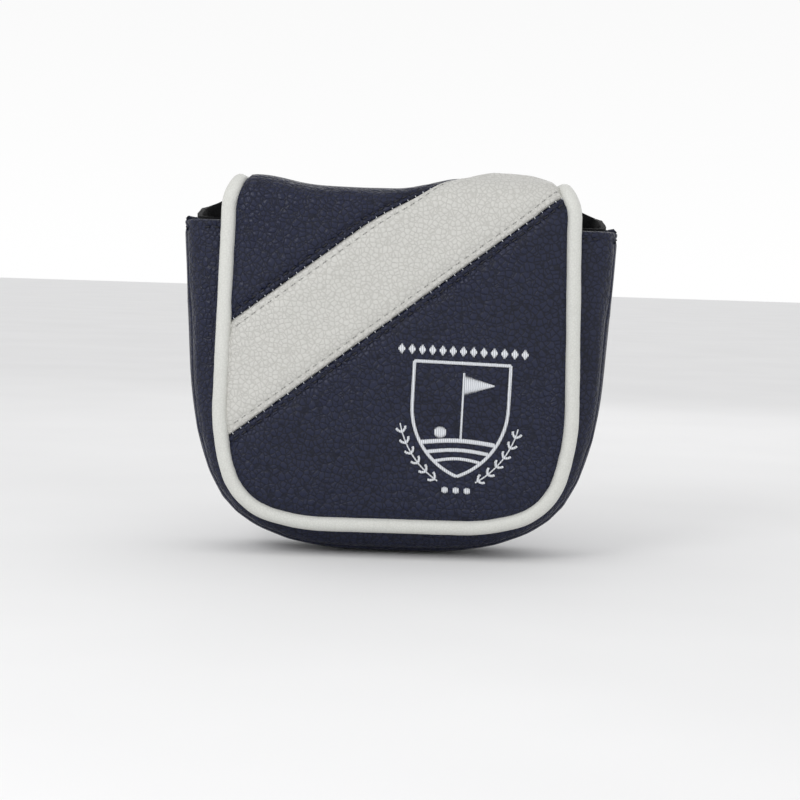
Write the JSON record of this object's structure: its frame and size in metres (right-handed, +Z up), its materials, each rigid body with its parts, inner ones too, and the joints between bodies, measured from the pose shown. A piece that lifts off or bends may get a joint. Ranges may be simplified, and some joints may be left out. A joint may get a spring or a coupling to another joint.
{
  "type": "putter head cover",
  "caption": "Padded navy leather pouch for a mallet putter head, with a fold-over front flap edged in white piping and crossed by a wide white diagonal stripe.",
  "frame": {"origin": "middle of the base, on the surface that the cover stands on", "axes": "+Z up through the mouth, +X to the right as the flap is faced, -Y out of the front, where the flap hangs"},
  "size_m": [0.1328, 0.0417, 0.114],
  "materials": {
    "navy_leather": "pebbled coated leather, dark navy, low sheen",
    "white_leather": "pebbled coated leather, off-white, low sheen",
    "white_piping": "smooth off-white coated leather sleeve",
    "foam": "grey sheet padding",
    "fleece_lining": "black short-pile fleece",
    "magnet": "nickel-plated disc",
    "dark_thread": "dark navy bonded thread",
    "light_thread": "pale grey bonded thread",
    "piping_cord": "twisted cotton cord",
    "embroidery_thread": "silver-white satin-stitch thread"
  },
  "bodies": {
    "pouch": {"front_panel": "navy_leather", "gusset_panel": "navy_leather", "back_panel": "navy_leather", "front_foam": "foam", "gusset_foam": "foam", "back_foam": "foam", "front_lining": "fleece_lining", "gusset_lining": "fleece_lining", "back_lining": "fleece_lining", "pouch_magnets": "magnet", "hem_stitching": "dark_thread", "back_stitching": "dark_thread"},
    "flap_top": {"top_panel": "navy_leather", "top_stripe": "white_leather", "top_foam": "foam", "top_lining": "fleece_lining", "top_piping": "white_piping", "top_piping_cord": "piping_cord"},
    "flap_front": {"flap_upper_panel": "navy_leather", "flap_stripe": "white_leather", "flap_lower_panel": "navy_leather", "flap_foam": "foam", "flap_lining": "fleece_lining", "flap_magnets": "magnet", "flap_piping": "white_piping", "flap_piping_cord": "piping_cord", "flap_panel_stitching": "dark_thread", "flap_stripe_stitching": "light_thread", "badge": "embroidery_thread"}
  },
  "joints": [
    {"name": "flap_hinge", "type": "hinge", "parent": "pouch", "child": "flap_top", "pos_m": [0, 0.018, 0.106], "axis": [-1, 0, 0], "range_deg": [0, 150]},
    {"name": "flap_fold", "type": "hinge", "parent": "flap_top", "child": "flap_front", "pos_m": [0, -0.02143, 0.11243], "axis": [-1, 0, 0], "range_deg": [0, 90]}
  ]
}
